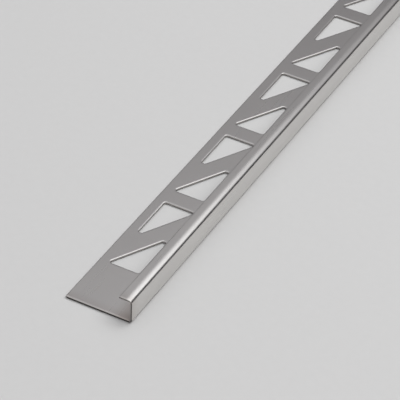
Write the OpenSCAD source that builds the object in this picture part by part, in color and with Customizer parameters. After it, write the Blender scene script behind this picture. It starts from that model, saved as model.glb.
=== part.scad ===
// Tile edge trim: one strip of stainless sheet, punched along its flange and folded lengthwise.
// X runs across the trim from the flange's free edge to the upright face, Y along it, Z up.
// The origin lies under the middle of the trim, on the surface that the flange rests on.

/* [Stock] */
// Length of the piece
trim_length = 1000; // [200:1:3000]
// Thickness of the sheet
sheet_t = 0.8; // [0.5:0.1:1.2]

/* [Folded section] */
// Overall width, from the free edge of the flange to the upright face
trim_width = 26.5; // [24:0.25:40]
// Overall height, from the underside of the flange to the top of the lip
trim_height = 10; // [6:0.5:20]
// Width of the lip that returns over the flange, from the upright face to its free edge
lip_width = 5.2; // [4:0.1:8]
// Inside radius of the bend between the flange and the upright face
foot_bend_r = 0.6; // [0.2:0.1:2]
// Inside radius of the bend between the upright face and the lip
lip_bend_r = 0.5; // [0.2:0.1:1]
// Inside radius of the shallow crown between that bend and the flat of the lip
crown_r = 8.2; // [3:0.1:9]
// Angle that the crown turns through
crown_angle = 12; // [4:1:16]

/* [Punched holes] */
// Width of a hole across the flange
hole_w = 12; // [6:0.25:13]
// Length of a hole along the trim
hole_l = 20; // [12:0.5:40]
// Radius of a hole's corners
hole_corner_r = 1; // [0.4:0.1:1.5]
// Strip left between the free edge of the flange and the holes
edge_strip = 4; // [2:0.25:6]
// Web left between one pair of holes and the next
web_w = 7.5; // [3:0.5:30]
// Plain length in front of the first hole
end_plain = 23.4; // [5:0.1:60]

/* [Hidden] */
$fn = 96;
// How far a cutting shape stands out of what it cuts
cut_over = 1;
// An arc stands out of the straight edge that it rounds off by this much, so that the two cross cleanly
arc_proud = 0.001;

free_edge_x = -trim_width / 2;
face_x = trim_width / 2;
lip_edge_x = face_x - lip_width;
start_y = -trim_length / 2;

// Outside radii of the foot bend, the lip bend and the crown
foot_out = foot_bend_r + sheet_t;
lip_out = lip_bend_r + sheet_t;
crown_out = crown_r + sheet_t;

// Their centres in the section. Lip bend and crown meet on a shared radius, crown_angle off the vertical.
foot_centre = [face_x - foot_out, foot_out];
lip_centre = [face_x - lip_out, trim_height - crown_out + (crown_out - lip_out) * cos(crown_angle)];
crown_centre = [lip_centre[0] - (crown_out - lip_out) * sin(crown_angle), trim_height - crown_out];

// Two holes laid end to end make a pair, and pairs repeat along the flange
pair_l = 2 * hole_l;
pitch = pair_l + web_w;
pair_count = floor((trim_length - end_plain) / pitch);

// Legs of the sharp right triangle that measures hole_w by hole_l once its corners are round.
// Each leg loses r * (cot(angle / 2) - 1) at its acute corner, and a few rounds settle the angle.
function cot(a) = cos(a) / sin(a);
function leg_across(a) = hole_w + hole_corner_r * (cot(a / 2) - 1);
function leg_along(a) = hole_l + hole_corner_r * (cot(45 - a / 2) - 1);
function settled(a, rounds) = rounds == 0 ? a : settled(atan2(leg_along(a), leg_across(a)), rounds - 1);
acute = settled(atan2(hole_l, hole_w), 12);

// What a bend takes off a sharp corner: all that lies past radius r between two angles, counted from +X
module corner_waste(centre, r, from, to) {
    reach = 2 * r + trim_height;
    translate(centre)
        difference() {
            polygon([[0, 0], for (a = [from, (from + to) / 2, to]) reach * [cos(a), sin(a)]]);
            circle(r);
        }
}

// What the folded sheet wraps round, out to its outer side, or to its inner side with inset as the sheet
module wrapped(inset) {
    difference() {
        translate([free_edge_x, inset]) square([trim_width - inset, trim_height - 2 * inset]);
        corner_waste(foot_centre, foot_out - inset + arc_proud, -90, 0);
        corner_waste(crown_centre, crown_out - inset + arc_proud, 0, 90);
        corner_waste(lip_centre, lip_out - inset + 2 * arc_proud, 0, 90 - crown_angle);
    }
}

// The folded section: flange along the floor, upright face, and the lip turned back over the flange
module section() {
    difference() {
        wrapped(0);
        wrapped(sheet_t);
        translate([free_edge_x - cut_over, sheet_t])
            square([lip_edge_x - free_edge_x + cut_over, trim_height]);
    }
}

// A hole: a right triangle with round corners, its square corner at the origin
module hole_outline() {
    r = hole_corner_r;
    side = [leg_across(acute) - r * cot(acute / 2), r];
    tip = [r, leg_along(acute) - r * cot(45 - acute / 2)];
    slope = r * [sin(acute), cos(acute)];
    for (corner = [[r, r], side, tip])
        translate(corner) circle(r + arc_proud);
    polygon([[0, r], [r, 0], [side[0], 0], side + slope, tip + slope, [0, tip[1]]]);
}

// The two holes of a pair point opposite ways, and a slanting web parts them
module hole_pair() {
    translate([hole_w, 0]) mirror([1, 0]) hole_outline();
    translate([0, pair_l]) mirror([0, 1]) hole_outline();
}

module trim() {
    color("silver")
        difference() {
            translate([0, -start_y, 0])
                rotate([90, 0, 0])
                    linear_extrude(trim_length) section();
            for (i = [0 : pair_count - 1])
                translate([free_edge_x + edge_strip, start_y + end_plain + i * pitch, -cut_over])
                    linear_extrude(sheet_t + 2 * cut_over) hole_pair();
        }
}

trim();
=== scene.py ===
import math

import bmesh
import bpy
from mathutils import Matrix, Vector


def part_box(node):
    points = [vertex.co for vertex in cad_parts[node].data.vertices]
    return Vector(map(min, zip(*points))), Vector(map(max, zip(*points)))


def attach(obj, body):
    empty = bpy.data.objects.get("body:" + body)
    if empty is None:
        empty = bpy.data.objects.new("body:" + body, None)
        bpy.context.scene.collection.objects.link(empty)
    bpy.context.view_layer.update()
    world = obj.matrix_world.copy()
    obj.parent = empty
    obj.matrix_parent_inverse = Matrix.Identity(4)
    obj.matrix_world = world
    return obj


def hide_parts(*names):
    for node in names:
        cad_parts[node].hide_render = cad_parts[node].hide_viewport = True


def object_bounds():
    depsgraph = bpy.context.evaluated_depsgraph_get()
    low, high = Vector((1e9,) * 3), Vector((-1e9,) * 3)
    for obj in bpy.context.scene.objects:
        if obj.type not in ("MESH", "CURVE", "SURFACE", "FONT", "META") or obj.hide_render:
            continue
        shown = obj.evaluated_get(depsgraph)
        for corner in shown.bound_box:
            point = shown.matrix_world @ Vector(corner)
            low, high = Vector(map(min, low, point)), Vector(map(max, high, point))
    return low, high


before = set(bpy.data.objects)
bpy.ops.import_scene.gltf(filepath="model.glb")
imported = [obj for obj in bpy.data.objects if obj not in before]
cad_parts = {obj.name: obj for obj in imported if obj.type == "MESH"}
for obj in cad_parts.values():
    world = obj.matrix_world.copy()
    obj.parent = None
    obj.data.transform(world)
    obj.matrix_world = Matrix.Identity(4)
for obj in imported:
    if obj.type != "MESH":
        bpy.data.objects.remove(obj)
cadLow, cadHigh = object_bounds()     # the box of the solids, before anything is dressed
mm = 0.001
scene = bpy.context.scene
scene.view_settings.view_transform = "Standard"
print("frame loaded:", [round(v / mm, 2) for v in cadHigh - cadLow], "mm")

mixA, mixB, mixOut = 6, 7, 2      # colour sockets of a Mix node, which share their names with others


def linearColour(hexText):
    # sRGB hex to linear, for every colour below
    channels = [int(hexText[i:i + 2], 16) / 255 for i in (1, 3, 5)]
    return (*(c / 12.92 if c <= 0.04045 else ((c + 0.055) / 1.055) ** 2.4 for c in channels), 1.0)


def addNode(tree, kind, inputs=None, **settings):
    # one node with its settings; an input is a value, a socket, a node or a list of nodes to join
    node = tree.nodes.new(kind)
    for name, value in settings.items():
        setattr(node, name, value)
    for key, value in (inputs or {}).items():
        for item in value if isinstance(value, list) else [value]:
            if isinstance(item, bpy.types.Node):
                item = item.outputs[0]
            if isinstance(item, bpy.types.NodeSocket):
                tree.links.new(item, node.inputs[key])
            else:
                node.inputs[key].default_value = item
    return node


def startMaterial(name):
    # a new material with its tree, its shader and the place on the piece that its patterns follow
    material = bpy.data.materials.new(name)
    material.use_nodes = True
    tree = material.node_tree
    where = addNode(tree, "ShaderNodeTexCoord").outputs["Object"]
    return material, tree, tree.nodes["Principled BSDF"], where


# camera: a long lens a metre off the near end, tipped a little clockwise
cameraSet = {
    "place": (294.62, -1004.79, 518.97),     # mm, in the frame
    "azimuth": 27.008, "elevation": 38.731, "roll": 2.690,     # degrees
    "lens": 203.21, "sensor": 36.0,
    "clip": (0.05, 100.0),                   # m
}


def makeCamera(view):
    data = bpy.data.cameras.new("camera")
    data.lens, data.sensor_width, data.sensor_fit = view["lens"], view["sensor"], "HORIZONTAL"
    data.clip_start, data.clip_end = view["clip"]
    camera = bpy.data.objects.new("camera", data)
    scene.collection.objects.link(camera)
    turn = Matrix.Rotation(math.radians(view["azimuth"]), 4, "Z")
    tip = Matrix.Rotation(math.radians(90 - view["elevation"]), 4, "X")
    roll = Matrix.Rotation(math.radians(view["roll"]), 4, "Z")
    camera.matrix_world = Matrix.Translation(Vector(view["place"]) * mm) @ turn @ tip @ roll
    scene.camera = camera


makeCamera(cameraSet)
print("camera placed")


# cold rolled stainless sheet, mill finish: a soft satin that mirrors the room as blurred bands, with faint
# rolling lines lengthways, a slight cloudiness, painted brownish shade in the fold and darker, browner ends
sheetFinish = {
    "name": "stainlessSheetMillFinish",
    "colour": "#E0DEDB", "shade": "#D9D7D5",
    "rough": 0.285, "roughSpread": 0.015,
    "lineSpacing": 0.5,      # mm across; the real lines are about 0.05, too fine to show
    "lineLength": 60.0,      # mm along
    "lineDepth": 0.00006,    # mm
    "lineDetail": 3.0,
    "lineRange": (0.25, 0.75),          # where most of the noise lies
    "lineShift": (0.37, 0.61, 0.43),    # off the noise's own grid
    "cloud": 18.0,           # mm
    "cloudRough": 0.4,
    "darkTint": "#BDB4AE", "foldShade": 0.62, "endDarkening": 0.3,     # colour, how much painted shade in the fold, and how much darkening at the ends
    "foldShadeStart": 9.2, "foldShadeFull": 3.2, "foldShadeStop": 0.7,      # mm in from the upright face
    "foldShadeLow": 1.5, "foldShadeHigh": 4.0,                         # mm up
    "endReach": 5.0,                                         # mm in from the ends
}

# the same sheet where the punch went through: a shiny band where it cut, and a dull dark one
# where the rest tore away
punchFinish = {
    "name": "stainlessPunchedEdge",
    "cut": "#C0BCBA", "torn": "#9E9A98", "foot": "#9E9A98",
    "cutRough": 0.34, "tornRough": 0.46,
    "tornDepth": 0.4,        # mm from the outer side
    "tear": 0.35,            # mm between tear marks
    "tearDepth": 0.01,       # mm
    "tearDetail": 4.0,
}

# and where the blank was sheared to length, from the same side, with a blunter blade
shearFinish = {
    "name": "stainlessShearedEnd",
    "cut": "#BAB6B3", "torn": "#686563", "foot": "#2C2927",     # painted shade on the foot, low on the flange's end where it meets the table
    "cutRough": 0.36, "tornRough": 0.44,
    "tornDepth": 0.52,       # mm from the outer side
    "tear": 0.35,            # mm between tear marks
    "tearDepth": 0.01,       # mm
    "tearDetail": 4.0,
}


def makeSheetFinish(finish):
    material, tree, shader, where = startMaterial(finish["name"])
    shader.inputs["Metallic"].default_value = 1.0
    across, along = 1 / (finish["lineSpacing"] * mm), 1 / (finish["lineLength"] * mm)
    stretched = addNode(tree, "ShaderNodeMapping", {
        "Vector": where, "Location": finish["lineShift"], "Scale": (across, along, across),
    })
    lines = addNode(tree, "ShaderNodeTexNoise", {
        "Vector": stretched, "Scale": 1.0, "Detail": finish["lineDetail"],
    })
    cloud = addNode(tree, "ShaderNodeTexNoise", {
        "Vector": where, "Scale": 1 / (finish["cloud"] * mm), "Roughness": finish["cloudRough"],
    })
    blend = addNode(tree, "ShaderNodeMix", {
        "Factor": cloud, mixA: linearColour(finish["colour"]), mixB: linearColour(finish["shade"]),
    }, data_type="RGBA")
    # painted brownish shade along the inside of the fold, and a darker, browner colour at both ends
    spot = addNode(tree, "ShaderNodeSeparateXYZ", {0: where}).outputs
    face, half = cadHigh.x, cadHigh.y
    start, full, stop = (face - finish[name] * mm for name in ("foldShadeStart", "foldShadeFull", "foldShadeStop"))
    # the fold's painted shade: fades in towards the upright face, out again beside it and above the flange
    fold = addNode(tree, "ShaderNodeMapRange", {
        "Value": spot["X"], "From Min": start, "From Max": full, "To Max": finish["foldShade"],
    }, interpolation_type="SMOOTHSTEP")
    inner = addNode(tree, "ShaderNodeMapRange", {
        "Value": spot["X"], "From Min": stop, "From Max": (stop + face) / 2, "To Min": fold, "To Max": 0.0,
    })
    low = addNode(tree, "ShaderNodeMapRange", {
        "Value": spot["Z"], "From Min": finish["foldShadeLow"] * mm, "From Max": finish["foldShadeHigh"] * mm,
        "To Min": inner, "To Max": 0.0,
    })
    # darker and browner towards both ends
    ends = addNode(tree, "ShaderNodeMapRange", {
        "Value": addNode(tree, "ShaderNodeMath", {0: spot["Y"]}, operation="ABSOLUTE"),
        "From Min": half - finish["endReach"] * mm, "From Max": half, "To Max": finish["endDarkening"],
    }, interpolation_type="SMOOTHSTEP")
    darkened = addNode(tree, "ShaderNodeMix", {
        "Factor": addNode(tree, "ShaderNodeMath", {0: low, 1: ends}, operation="ADD"),
        mixA: blend.outputs[mixOut], mixB: linearColour(finish["darkTint"]),
    }, data_type="RGBA")
    tree.links.new(darkened.outputs[mixOut], shader.inputs["Base Color"])
    rough = addNode(tree, "ShaderNodeMapRange", {
        "Value": lines, "From Min": finish["lineRange"][0], "From Max": finish["lineRange"][1],
        "To Min": finish["rough"] - finish["roughSpread"], "To Max": finish["rough"] + finish["roughSpread"],
    })
    tree.links.new(rough.outputs[0], shader.inputs["Roughness"])
    bump = addNode(tree, "ShaderNodeBump", {"Height": lines, "Distance": finish["lineDepth"] * mm})
    tree.links.new(bump.outputs[0], shader.inputs["Normal"])
    return material


def makeCutFinish(finish, sheet):
    material, tree, shader, where = startMaterial(finish["name"])
    shader.inputs["Metallic"].default_value = 1.0
    tearWidth, tornDepth = finish["tear"] * mm, finish["tornDepth"] * mm
    tear = addNode(tree, "ShaderNodeTexNoise", {
        "Vector": where, "Scale": 1 / tearWidth, "Detail": finish["tearDetail"],
    })
    # how far in from the outer side of the sheet: the underside, the upright face or the top of the lip
    spot = addNode(tree, "ShaderNodeSeparateXYZ", {0: where}).outputs
    fromFace = addNode(tree, "ShaderNodeMath", {0: cadHigh.x, 1: spot["X"]}, operation="SUBTRACT")
    fromTop = addNode(tree, "ShaderNodeMath", {0: cadHigh.z, 1: spot["Z"]}, operation="SUBTRACT")
    nearest = addNode(tree, "ShaderNodeMath", {0: fromFace, 1: fromTop}, operation="MINIMUM")
    depth = addNode(tree, "ShaderNodeMath", {0: nearest, 1: spot["Z"]}, operation="MINIMUM")
    waver = addNode(tree, "ShaderNodeMath", {0: tear, 1: tearWidth, 2: depth}, operation="MULTIPLY_ADD")
    band = addNode(tree, "ShaderNodeMapRange", {
        "Value": waver, "From Min": tornDepth, "From Max": tornDepth + tearWidth,
    })
    # below the top of the flange the torn band takes the foot colour; on the sheared ends that is painted
    # shade
    up = addNode(tree, "ShaderNodeMapRange", {
        "Value": spot["Z"], "From Min": sheet * mm, "From Max": 2 * sheet * mm,     # above the flange
    })
    torn = addNode(tree, "ShaderNodeMix", {
        "Factor": up, mixA: linearColour(finish["foot"]), mixB: linearColour(finish["torn"]),
    }, data_type="RGBA")
    blend = addNode(tree, "ShaderNodeMix", {
        "Factor": band, mixA: torn.outputs[mixOut], mixB: linearColour(finish["cut"]),
    }, data_type="RGBA")
    tree.links.new(blend.outputs[mixOut], shader.inputs["Base Color"])
    rough = addNode(tree, "ShaderNodeMapRange", {
        "Value": band, "To Min": finish["tornRough"], "To Max": finish["cutRough"],
    })
    tree.links.new(rough.outputs[0], shader.inputs["Roughness"])
    bump = addNode(tree, "ShaderNodeBump", {"Height": tear, "Distance": finish["tearDepth"] * mm})
    tree.links.new(bump.outputs[0], shader.inputs["Normal"])
    return material


# the trim, in mm and degrees; its length, width and height come from the frame
trimForm = {
    "sheet": 0.8, "lip": 5.2,
    "footBend": 0.6, "lipBend": 0.5, "crown": 8.2, "crownAngle": 12.0,     # inside radii
    "slitRound": 0.15,                        # on the long edges
    "holeWidth": 12.0, "holeLength": 20.0, "holeCorner": 1.0,
    "edgeStrip": 4.0, "web": 7.5, "endPlain": 23.4,
    "rollWidth": 0.5, "rollDepth": 0.22,      # where the punch drew the sheet down
    "breakOut": 0.04,                         # the hole is this much wider below
    "flatRim": 0.35,                          # flat strip beside every bend and hole
    "endDroop": 0.13, "lipDroop": 0.07,       # the blade rolled the ends down,
    "droopReach": 0.65,                       # over this length,
    "endBreak": 0.12,                         # and broke out under them
    "endRound": 0.1,
    "crisp": 32.0,                            # edges that turn more than this stay sharp
    # how finely it is drawn
    "slitSteps": 4, "insideSteps": 12, "footSteps": 16, "lipSteps": 20,
    "insideCrownSteps": 6, "crownSteps": 8,
    "cornerSteps": 9, "rollPoints": 7, "droopSteps": 4, "endSteps": 3,
    "tolerance": 0.01, "weld": 0.002, "sliver": 0.0005,
}


def arcPoints(centre, radius, start, end, steps):
    angles = [math.radians(start + (end - start) * i / steps) for i in range(steps + 1)]
    return [(centre[0] + radius * math.cos(a), centre[1] + radius * math.sin(a)) for a in angles]


def makeSection(form, free, face, height):
    # the folded sheet seen from its near end, as a closed line of (x, z) points
    sheet, edge, rim = form["sheet"], form["slitRound"], form["flatRim"]
    lipEdge = face - form["lip"]
    footOut, lipOut, crownOut = form["footBend"] + sheet, form["lipBend"] + sheet, form["crown"] + sheet
    # bend and crown of the lip meet on a shared radius, crownAngle off the vertical
    turned = 90 - form["crownAngle"]
    lean = math.radians(form["crownAngle"])
    lipX = face - lipOut
    crownX = lipX - (crownOut - lipOut) * math.sin(lean)
    crownZ = height - crownOut
    lipZ = crownZ + (crownOut - lipOut) * math.cos(lean)
    foot, lip, crown = (face - footOut, footOut), (lipX, lipZ), (crownX, crownZ)
    flatLeft, flatRight = free + edge + rim, foot[0] - rim
    # up round the free edge, along the inside to the lip's edge, and back along the outside
    points = arcPoints((free + edge, edge), edge, 270, 180, form["slitSteps"])
    points += arcPoints((free + edge, sheet - edge), edge, 180, 90, form["slitSteps"])
    points += [(flatLeft, sheet), (flatRight, sheet)]
    points += arcPoints(foot, form["footBend"], -90, 0, form["insideSteps"])
    points += [(face - sheet, foot[1] + rim), (face - sheet, lipZ - rim)]
    points += arcPoints(lip, form["lipBend"], 0, turned, form["insideSteps"])
    points += arcPoints(crown, form["crown"], turned, 90, form["insideCrownSteps"])[1:]
    points += [(crownX - rim, height - sheet), (lipEdge + edge + rim, height - sheet)]
    points += arcPoints((lipEdge + edge, height - sheet + edge), edge, 270, 180, form["slitSteps"])
    points += arcPoints((lipEdge + edge, height - edge), edge, 180, 90, form["slitSteps"])
    points += [(lipEdge + edge + rim, height), (crownX - rim, height)]
    points += arcPoints(crown, crownOut, 90, turned, form["crownSteps"])
    points += arcPoints(lip, lipOut, turned, 0, form["lipSteps"])[1:]
    points += [(face, lipZ - rim), (face, foot[1] + rim)]
    points += arcPoints(foot, footOut, 0, -90, form["footSteps"])
    points += [(flatRight, 0.0), (flatLeft, 0.0)]
    curve = bpy.data.curves.new("trimSection", "CURVE")
    line = curve.splines.new("POLY")
    line.points.add(len(points) - 1)
    for spot, (x, z) in zip(line.points, points):
        spot.co = (x * mm, -z * mm, 0, 1)      # the sweep turns +Y of the section downwards
    line.use_cyclic_u = True
    section = bpy.data.objects.new("trimSection", curve)
    scene.collection.objects.link(section)
    return section, flatLeft, flatRight


def addSweep(tree, given):
    # the section swept along a path with a few points close to each end, and one at each side of every cell
    index = addNode(tree, "GeometryNodeInputIndex")
    endStep = addNode(tree, "ShaderNodeMath", {0: given["End reach"], 1: given["End steps"]},
                      operation="DIVIDE")
    fromNear = addNode(tree, "ShaderNodeMath", {0: index, 1: endStep}, operation="MULTIPLY")
    nearEnd = addNode(tree, "ShaderNodeMath", {0: fromNear, 1: given["Half length"]}, operation="SUBTRACT")
    cellNumber = addNode(tree, "ShaderNodeMath", {0: index, 1: given["End steps"]}, operation="SUBTRACT")
    cellBefore = addNode(tree, "ShaderNodeMath", {0: given["First cell"], 1: given["Pitch"]},
                         operation="SUBTRACT")
    cellSide = addNode(tree, "ShaderNodeMath", {0: cellNumber, 1: given["Pitch"], 2: cellBefore},
                       operation="MULTIPLY_ADD")
    within = addNode(tree, "ShaderNodeMath", {0: given["End steps"], 1: 2.0, 2: given["Pairs"]},
                     operation="MULTIPLY_ADD")
    last = addNode(tree, "ShaderNodeMath", {0: within, 1: 2.0}, operation="ADD")
    beforeLast = addNode(tree, "ShaderNodeMath", {0: last, 1: index}, operation="SUBTRACT")
    fromFar = addNode(tree, "ShaderNodeMath", {0: beforeLast, 1: endStep}, operation="MULTIPLY")
    farEnd = addNode(tree, "ShaderNodeMath", {0: given["Half length"], 1: fromFar}, operation="SUBTRACT")
    pastNear = addNode(tree, "ShaderNodeMath", {0: nearEnd, 1: cellSide}, operation="MAXIMUM")
    station = addNode(tree, "ShaderNodeMath", {0: pastNear, 1: farEnd}, operation="MINIMUM")
    points = addNode(tree, "GeometryNodePoints", {
        "Count": addNode(tree, "ShaderNodeMath", {0: last, 1: 1.0}, operation="ADD"),
        "Position": addNode(tree, "ShaderNodeCombineXYZ", {"Y": station}),
    })
    section = addNode(tree, "GeometryNodeObjectInfo", {"Object": given["Section"]})
    return addNode(tree, "GeometryNodeCurveToMesh", {
        "Curve": addNode(tree, "GeometryNodePointsToCurves", {0: points}),
        "Profile Curve": section.outputs["Geometry"], "Fill Caps": True,
    })


def addOpening(tree, given, place, sweep):
    # takes the flat of the flange out of the sweep, from the first cell to the last
    overFlat = addNode(tree, "FunctionNodeCompare", {
        0: place["X"], 1: given["Cell middle"], "Epsilon": given["Tolerance"],
    }, operation="EQUAL")
    cellsLength = addNode(tree, "ShaderNodeMath", {0: given["Pairs"], 1: given["Pitch"]},
                          operation="MULTIPLY")
    cellsHalf = addNode(tree, "ShaderNodeMath", {0: cellsLength, 1: 0.5}, operation="MULTIPLY")
    cellsMiddle = addNode(tree, "ShaderNodeMath", {0: given["First cell"], 1: cellsHalf}, operation="ADD")
    overCells = addNode(tree, "FunctionNodeCompare", {
        0: place["Y"], 1: cellsMiddle, "Epsilon": cellsHalf,
    }, operation="EQUAL")
    return addNode(tree, "GeometryNodeDeleteGeometry", {
        "Geometry": sweep,
        "Selection": addNode(tree, "FunctionNodeBooleanMath", {0: overFlat, 1: overCells}, operation="AND"),
    }, domain="FACE")


def addHolePair(tree, given):
    # one hole: the sharp triangle from its square corner, then rounded
    backAcross = addNode(tree, "ShaderNodeMath", {0: given["Hole right"], 1: given["Leg across"]},
                         operation="SUBTRACT")
    farAlong = addNode(tree, "ShaderNodeMath", {0: given["Hole start"], 1: given["Leg along"]},
                       operation="ADD")
    square = addNode(tree, "ShaderNodeCombineXYZ", {"X": given["Hole right"], "Y": given["Hole start"]})
    far = addNode(tree, "ShaderNodeCombineXYZ", {"X": given["Hole right"], "Y": farAlong})
    near = addNode(tree, "ShaderNodeCombineXYZ", {"X": backAcross, "Y": given["Hole start"]})
    corner = addNode(tree, "GeometryNodeIndexSwitch", data_type="VECTOR")
    corner.index_switch_items.new()     # the switch starts with two items
    for key, value in enumerate((addNode(tree, "GeometryNodeInputIndex"), square, far, near)):
        tree.links.new(value.outputs[0], corner.inputs[key])
    points = addNode(tree, "GeometryNodePoints", {"Count": 3, "Position": corner})
    triangle = addNode(tree, "GeometryNodeSetSplineCyclic", {
        "Geometry": addNode(tree, "GeometryNodePointsToCurves", {0: points}), "Cyclic": True,
    })
    hole = addNode(tree, "GeometryNodeFilletCurve", {
        "Curve": triangle, "Count": given["Corner steps"], "Radius": given["Hole corner"],
    }, mode="POLY")
    # its partner is the same hole turned half round, about the middle of the cell
    halfTurn = addNode(tree, "ShaderNodeCombineXYZ", {
        "X": addNode(tree, "ShaderNodeMath", {0: given["Hole middle"], 1: 2.0}, operation="MULTIPLY"),
        "Y": given["Pitch"],
    })
    partner = addNode(tree, "GeometryNodeTransform", {
        "Geometry": hole, "Translation": halfTurn, "Rotation": (0, 0, math.pi),
    })
    return addNode(tree, "GeometryNodeJoinGeometry", {0: [hole, partner]})


def addPunchedEdge(tree, given, holes):
    # down round every hole: flat rim, rolled shoulder, then the wall opening out a little
    rollFoot = addNode(tree, "ShaderNodeMath", {0: given["Roll depth"], 1: given["Sheet"]},
                       operation="SUBTRACT")
    rollDown = addNode(tree, "ShaderNodeMath", {0: given["Roll depth"], 1: -1.0}, operation="MULTIPLY")
    topDown = addNode(tree, "ShaderNodeMath", {0: given["Sheet"], 1: -1.0}, operation="MULTIPLY")
    rimEnd = addNode(tree, "ShaderNodeMath", {0: given["Roll width"], 1: given["Flat rim"]}, operation="ADD")
    rim = addNode(tree, "GeometryNodeCurvePrimitiveLine", {
        "Start": addNode(tree, "ShaderNodeCombineXYZ", {"X": rimEnd, "Y": topDown}),
        "End": addNode(tree, "ShaderNodeCombineXYZ", {"X": given["Roll width"], "Y": topDown}),
    })
    quarter = addNode(tree, "GeometryNodeCurveArc", {
        "Resolution": given["Roll points"], "Radius": 1.0,
        "Start Angle": math.pi / 2, "Sweep Angle": math.pi / 2,
    }, mode="RADIUS")
    roll = addNode(tree, "GeometryNodeTransform", {
        "Geometry": quarter,
        "Scale": addNode(tree, "ShaderNodeCombineXYZ", {"X": given["Roll width"], "Y": rollDown, "Z": 1.0}),
        "Translation": addNode(tree, "ShaderNodeCombineXYZ", {"X": given["Roll width"], "Y": rollFoot}),
    })
    wall = addNode(tree, "GeometryNodeCurvePrimitiveLine", {
        "Start": addNode(tree, "ShaderNodeCombineXYZ", {"Y": rollFoot}),
        "End": addNode(tree, "ShaderNodeCombineXYZ", {"X": given["Break out"]}),
    })
    edge = addNode(tree, "GeometryNodeCurveToMesh", {
        "Curve": holes, "Profile Curve": addNode(tree, "GeometryNodeJoinGeometry", {0: [rim, roll, wall]}),
    })
    return addNode(tree, "GeometryNodeMergeByDistance", {"Geometry": edge, "Distance": given["Weld"]})


def addCell(tree, given, place):
    # one pair of holes, with the flat sheet round them above and below
    punched = addPunchedEdge(tree, given, addHolePair(tree, given))
    cellFrame = addNode(tree, "GeometryNodeTransform", {
        "Geometry": addNode(tree, "GeometryNodeCurvePrimitiveQuadrilateral", {
            "Width": given["Cell width"], "Height": given["Pitch"],
        }, mode="RECTANGLE"),
        "Translation": addNode(tree, "ShaderNodeCombineXYZ", {
            "X": given["Cell middle"],
            "Y": addNode(tree, "ShaderNodeMath", {0: given["Pitch"], 1: 0.5}, operation="MULTIPLY"),
        }),
    })
    neighbours = addNode(tree, "GeometryNodeInputMeshEdgeNeighbors")
    openEdge = addNode(tree, "FunctionNodeCompare", {2: neighbours, 3: 1},     # its whole number sockets
                       data_type="INT", operation="EQUAL")
    halfSheet = addNode(tree, "ShaderNodeMath", {0: given["Sheet"], 1: 0.5}, operation="MULTIPLY")
    above = addNode(tree, "FunctionNodeCompare", {0: place["Z"], 1: halfSheet}, operation="GREATER_THAN")
    layers = []
    for side in ("AND", "NIMPLY"):      # above, then below
        loops = addNode(tree, "GeometryNodeMeshToCurve", {
            "Mesh": punched,
            "Selection": addNode(tree, "FunctionNodeBooleanMath", {0: openEdge, 1: above}, operation=side),
        })
        layers.append(addNode(tree, "GeometryNodeFillCurve", {
            "Curve": addNode(tree, "GeometryNodeJoinGeometry", {0: [cellFrame, loops]}),
        }, mode="TRIANGLES"))
    top = addNode(tree, "GeometryNodeTransform", {
        "Geometry": layers[0], "Translation": addNode(tree, "ShaderNodeCombineXYZ", {"Z": given["Sheet"]}),
    })
    bottom = addNode(tree, "GeometryNodeFlipFaces", {"Mesh": layers[1]})
    return addNode(tree, "GeometryNodeJoinGeometry", {0: [top, punched, bottom]})


def addShearedEnds(tree, given, place, trim):
    # the ends roll down: most at the top of the flange, less at the lip and not at all below
    outward = addNode(tree, "ShaderNodeMath", {0: place["Y"]}, operation="ABSOLUTE")
    droopStart = addNode(tree, "ShaderNodeMath", {0: given["Half length"], 1: given["End reach"]},
                         operation="SUBTRACT")
    toEnd = addNode(tree, "ShaderNodeMapRange", {
        "Value": outward, "From Min": droopStart, "From Max": given["Half length"],
    })
    curved = addNode(tree, "ShaderNodeMath", {0: toEnd, 1: 2.0}, operation="POWER")
    through = addNode(tree, "ShaderNodeMapRange", {
        "Value": place["Z"], "From Max": given["Sheet"], "To Max": given["End droop"],
    })
    fading = addNode(tree, "ShaderNodeMapRange", {
        "Value": place["Z"], "From Min": given["Sheet"], "From Max": given["Height"],
        "To Min": given["End droop"], "To Max": given["Lip droop"],
    })
    most = addNode(tree, "ShaderNodeMath", {0: through, 1: fading}, operation="MINIMUM")
    droop = addNode(tree, "ShaderNodeMath", {0: most, 1: curved}, operation="MULTIPLY")
    down = addNode(tree, "ShaderNodeMath", {0: droop, 1: -1.0}, operation="MULTIPLY")
    drooped = addNode(tree, "GeometryNodeSetPosition", {
        "Geometry": trim, "Offset": addNode(tree, "ShaderNodeCombineXYZ", {"Z": down}),
    })
    # below, they break out a little, towards the middle of the trim from either end
    atEnd = addNode(tree, "FunctionNodeCompare", {
        0: outward, 1: given["Half length"], "Epsilon": given["Tolerance"],
    }, operation="EQUAL")
    underFlange = addNode(tree, "FunctionNodeCompare", {0: place["Z"], "Epsilon": given["Tolerance"]},
                          operation="EQUAL")
    share = addNode(tree, "ShaderNodeMath", {0: given["End break"], 1: given["Half length"]},
                    operation="DIVIDE")
    inward = addNode(tree, "ShaderNodeMath", {0: place["Y"], 1: -1.0}, operation="MULTIPLY")
    back = addNode(tree, "ShaderNodeMath", {0: inward, 1: share}, operation="MULTIPLY")
    broken = addNode(tree, "GeometryNodeSetPosition", {
        "Geometry": drooped,
        "Selection": addNode(tree, "FunctionNodeBooleanMath", {0: atEnd, 1: underFlange}, operation="AND"),
        "Offset": addNode(tree, "ShaderNodeCombineXYZ", {"Y": back}),
    })
    # and their edges are marked for rounding
    return addNode(tree, "GeometryNodeStoreNamedAttribute", {
        "Geometry": broken, "Selection": atEnd, "Name": "bevel_weight_edge", "Value": 1.0,
    }, data_type="FLOAT", domain="EDGE")


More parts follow.
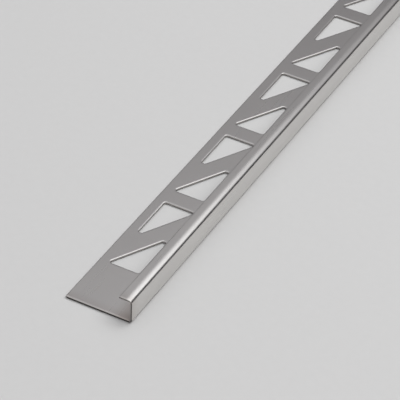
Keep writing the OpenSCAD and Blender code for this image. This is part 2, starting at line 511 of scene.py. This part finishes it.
def makeTrimTree(sizes, counts):
    # sweeps the section, opens the flange and fills it with punched cells, one for each pair of holes
    tree = bpy.data.node_groups.new("punchedTrim", "GeometryNodeTree")
    tree.is_modifier = True
    sockets = {"Section": "NodeSocketObject", "Material": "NodeSocketMaterial"}
    sockets.update({name: "NodeSocketInt" for name in counts})
    sockets.update({name: "NodeSocketFloat" for name in sizes})
    for name, kind in sockets.items():
        tree.interface.new_socket(name=name, in_out="INPUT", socket_type=kind)
    tree.interface.new_socket(name="Geometry", in_out="OUTPUT", socket_type="NodeSocketGeometry")
    given = addNode(tree, "NodeGroupInput").outputs
    position = addNode(tree, "GeometryNodeInputPosition")
    place = addNode(tree, "ShaderNodeSeparateXYZ", {0: position}).outputs
    opened = addOpening(tree, given, place, addSweep(tree, given))
    row = addNode(tree, "GeometryNodeMeshLine", {
        "Count": given["Pairs"],
        "Start Location": addNode(tree, "ShaderNodeCombineXYZ", {"Y": given["First cell"]}),
        "Offset": addNode(tree, "ShaderNodeCombineXYZ", {"Y": given["Pitch"]}),
    }, mode="OFFSET")
    cells = addNode(tree, "GeometryNodeInstanceOnPoints", {
        "Points": row, "Instance": addCell(tree, given, place),
    })
    realized = addNode(tree, "GeometryNodeRealizeInstances", {
        "Geometry": addNode(tree, "GeometryNodeJoinGeometry", {0: [opened, cells]}),
    })
    welded = addNode(tree, "GeometryNodeMergeByDistance", {"Geometry": realized, "Distance": given["Weld"]})
    surfaced = addNode(tree, "GeometryNodeSetMaterial", {
        "Geometry": addShearedEnds(tree, given, place, welded), "Material": given["Material"],
    })
    addNode(tree, "NodeGroupOutput", {0: surfaced})
    return tree


def sharpLegs(width, length, corner):
    # legs of the right triangle that is width by length once its corners are rounded
    across, along = width, length
    rounds = 60     # more than enough to settle
    for _ in range(rounds):
        farAngle = math.atan2(across, along)
        nearAngle = math.pi / 2 - farAngle
        along = length + corner / math.tan(farAngle / 2) - corner
        across = width + corner / math.tan(nearAngle / 2) - corner
    return across, along


def finishTrimMesh(form, mesh, low, high):
    # outward faces, crisp where the sheet was cut, and the cut faces in their own finish
    shape = bmesh.new()
    shape.from_mesh(mesh)
    for spot in shape.verts:      # the rounding pushes a few points out past the cut
        spot.co.y = min(max(spot.co.y, low.y), high.y)
    # the ends have many points in line, so their faces are split with care before anything else does it
    bmesh.ops.dissolve_degenerate(shape, dist=form["sliver"] * mm, edges=shape.edges)
    manySided = [side for side in shape.faces if len(side.verts) > 4]
    bmesh.ops.triangulate(shape, faces=manySided, quad_method="BEAUTY", ngon_method="BEAUTY")
    bmesh.ops.recalc_face_normals(shape, faces=shape.faces)
    levelNormal, endNormal = 0.35, 0.5      # how far a cut face's normal may rise, and must point endways
    punched, sheared = 1, 2                 # places in the list of finishes
    bendStart = high.x / mm - form["sheet"] - form["footBend"]
    endLine = high.y / mm - form["endBreak"]
    flatLine = high.y / mm - form["droopReach"]
    for side in shape.faces:
        side.smooth = True
        middle = side.calc_center_median() / mm
        level = abs(side.normal.z) < levelNormal
        if level and abs(side.normal.y) > endNormal and abs(middle.y) > endLine:
            side.material_index = sheared
        elif level and middle.x < bendStart:
            side.material_index = punched
    for edge in shape.edges:
        atFlat = all(abs(abs(spot.co.y) / mm - flatLine) < form["tolerance"] for spot in edge.verts)
        gentle = len(edge.link_faces) == 2 and edge.calc_face_angle() < math.radians(form["crisp"])
        edge.smooth = gentle and not atFlat
    openEdges = sum(1 for edge in shape.edges if len(edge.link_faces) != 2)
    shape.to_mesh(mesh)
    print("trim:", len(shape.faces), "faces,", openEdges, "open edges,",
          round(shape.calc_volume(signed=True) / mm ** 3, 1), "mm3")
    shape.free()


def makeTrim(form, finishes):
    low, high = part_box("trim")
    free, face, height = low.x / mm, high.x / mm, high.z / mm
    length = (high - low).y / mm
    section, flatLeft, flatRight = makeSection(form, free, face, height)
    pitch = 2 * form["holeLength"] + form["web"]
    across, along = sharpLegs(form["holeWidth"], form["holeLength"], form["holeCorner"])
    counts = {
        "Pairs": math.floor((length - form["endPlain"]) / pitch),
        "End steps": form["droopSteps"],
        "Corner steps": form["cornerSteps"], "Roll points": form["rollPoints"],
    }
    sizes = {
        "Half length": length / 2, "Height": height, "Sheet": form["sheet"], "Pitch": pitch,
        "First cell": low.y / mm + form["endPlain"] - form["web"] / 2,
        "Cell middle": (flatLeft + flatRight) / 2, "Cell width": flatRight - flatLeft,
        "Hole start": form["web"] / 2, "Hole right": free + form["edgeStrip"] + form["holeWidth"],
        "Hole middle": free + form["edgeStrip"] + form["holeWidth"] / 2,
        "Leg across": across, "Leg along": along, "Hole corner": form["holeCorner"],
        "Roll width": form["rollWidth"], "Roll depth": form["rollDepth"],
        "Break out": form["breakOut"], "Flat rim": form["flatRim"],
        "End reach": form["droopReach"], "End droop": form["endDroop"], "Lip droop": form["lipDroop"],
        "End break": form["endBreak"], "Tolerance": form["tolerance"], "Weld": form["weld"],
    }
    tree = makeTrimTree(sizes, counts)
    trim = bpy.data.objects.new("trimSheet", bpy.data.meshes.new("trimSheet"))
    scene.collection.objects.link(trim)
    nodes = trim.modifiers.new("punchedTrim", "NODES")
    nodes.node_group = tree
    values = {"Section": section, "Material": finishes[0], **counts}
    values.update({name: size * mm for name, size in sizes.items()})
    for item in tree.interface.items_tree:
        if item.in_out == "INPUT":
            nodes[item.identifier] = values[item.name]
    rounding = trim.modifiers.new("endRound", "BEVEL")
    rounding.limit_method, rounding.use_clamp_overlap = "WEIGHT", False
    rounding.width, rounding.segments = form["endRound"] * mm, form["endSteps"]
    made = trim.evaluated_get(bpy.context.evaluated_depsgraph_get())
    mesh = bpy.data.meshes.new_from_object(made)
    trim.modifiers.clear()
    trim.data = mesh
    mesh.name = "trimSheet"
    bpy.data.objects.remove(section)
    mesh.materials.clear()
    for finish in finishes:
        mesh.materials.append(finish)
    finishTrimMesh(form, mesh, low, high)
    print("trim:", counts["Pairs"], "pairs of holes")
    return trim


sheetMetal = makeSheetFinish(sheetFinish)
punchedEdge = makeCutFinish(punchFinish, trimForm["sheet"])
shearedEnd = makeCutFinish(shearFinish, trimForm["sheet"])
print("finishes made")

trimSheet = makeTrim(trimForm, [sheetMetal, punchedEdge, shearedEnd])
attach(trimSheet, "root")
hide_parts("trim")
print("trim dressed")


# pale matt table with a fine fleck: a soft even grey that keeps the shadow and hardly mirrors
floorSet = {
    "name": "paleMattTable",
    "colour": "#D2D2D1", "shade": "#CFCFCE", "rough": 0.75, "specular": 0.2,
    "fleck": 3.0, "drop": 0.32,     # mm, the second below the trim, which bears on a few points only
    "size": 40.0,                   # m
}


def makeFloor(floor):
    material, tree, shader, where = startMaterial(floor["name"])
    shader.inputs["Roughness"].default_value = floor["rough"]
    shader.inputs["Specular IOR Level"].default_value = floor["specular"]
    fleck = addNode(tree, "ShaderNodeTexNoise", {"Vector": where, "Scale": 1 / (floor["fleck"] * mm)})
    blend = addNode(tree, "ShaderNodeMix", {
        "Factor": fleck, mixA: linearColour(floor["colour"]), mixB: linearColour(floor["shade"]),
    }, data_type="RGBA")
    tree.links.new(blend.outputs[mixOut], shader.inputs["Base Color"])
    half = floor["size"] / 2
    corners = [(x * half, y * half, -floor["drop"] * mm) for x, y in ((-1, -1), (1, -1), (1, 1), (-1, 1))]
    mesh = bpy.data.meshes.new("table")
    mesh.from_pydata(corners, [], [(0, 1, 2, 3)])
    mesh.materials.append(material)
    table = bpy.data.objects.new("table", mesh)
    scene.collection.objects.link(table)


makeFloor(floorSet)

# a grey room, lightest high up, with a soft box over the trim and a broad fill at its right
roomSet = {
    "low": "#9A989A", "middle": "#A8A6A8", "high": "#DEDEE0", "zenith": "#A8A8AA", "strength": 1.0,
    "lowHeight": 0.40, "middleHeight": 0.66, "highHeight": 0.86,     # sines of the elevation
}
# its dim parts, and between which directions they fade in: the far side, which lets the flange darken
# away from the camera, and its right corner, which draws the dark line along the lip
dimSets = [
    {"colour": "#6C6A6C", "right": (-2.0, -1.0), "far": (0.20, 0.50), "top": (0.66, 0.50)},
    {"colour": "#0A0A0A", "right": (0.30, 0.50), "far": (0.35, 0.55), "top": (0.53, 0.37)},
]
# m and W; the fill stays out of the metal's reflections
lampSets = [
    {"name": "softBox", "place": (0.115, -0.045, 0.70), "aim": (0.0, -0.5, 0.0), "size": (0.67, 0.40),
     "power": 0.80, "colour": "#FBFDFE", "mirrored": True},
    {"name": "fill", "place": (0.95, -0.1, 2.25), "aim": (0.4, -0.4, 0.0), "size": (2.2, 2.2),
     "power": 38.4, "colour": "#FFFFFF", "mirrored": False},
]


def makeRoom(room, dims):
    world = bpy.data.worlds.new("greyRoom")
    scene.world = world
    world.use_nodes = True
    tree = world.node_tree
    direction = addNode(tree, "ShaderNodeTexCoord").outputs["Generated"]
    way = addNode(tree, "ShaderNodeSeparateXYZ", {0: direction}).outputs
    ramp = addNode(tree, "ShaderNodeValToRGB", {"Fac": way["Z"]})
    stops = ramp.color_ramp.elements
    stops[0].position, stops[0].color = room["lowHeight"], linearColour(room["low"])
    stops[1].position, stops[1].color = 1.0, linearColour(room["zenith"])
    for name in ("middle", "high"):
        stops.new(room[name + "Height"]).color = linearColour(room[name])
    light = ramp.outputs["Color"]
    for dim in dims:
        share = 1.0
        for axis, side in zip("XYZ", ("right", "far", "top")):
            share = addNode(tree, "ShaderNodeMapRange", {
                "Value": way[axis], "From Min": dim[side][0], "From Max": dim[side][1], "To Max": share,
            })
        light = addNode(tree, "ShaderNodeMix", {
            "Factor": share, mixA: light, mixB: linearColour(dim["colour"]),
        }, data_type="RGBA").outputs[mixOut]
    background = tree.nodes["Background"]
    tree.links.new(light, background.inputs["Color"])
    background.inputs["Strength"].default_value = room["strength"]


def makeLamp(light):
    data = bpy.data.lights.new(light["name"], "AREA")
    data.shape, data.size, data.size_y = "RECTANGLE", *light["size"]
    data.energy, data.color = light["power"], linearColour(light["colour"])[:3]
    lamp = bpy.data.objects.new(light["name"], data)
    scene.collection.objects.link(lamp)
    lamp.location = light["place"]
    lamp.rotation_euler = (Vector(light["aim"]) - Vector(light["place"])).to_track_quat("-Z", "Y").to_euler()
    lamp.visible_camera = False
    lamp.visible_glossy = light["mirrored"]


makeRoom(roomSet, dimSets)
for lampSet in lampSets:
    makeLamp(lampSet)
print("stage and lamps set")
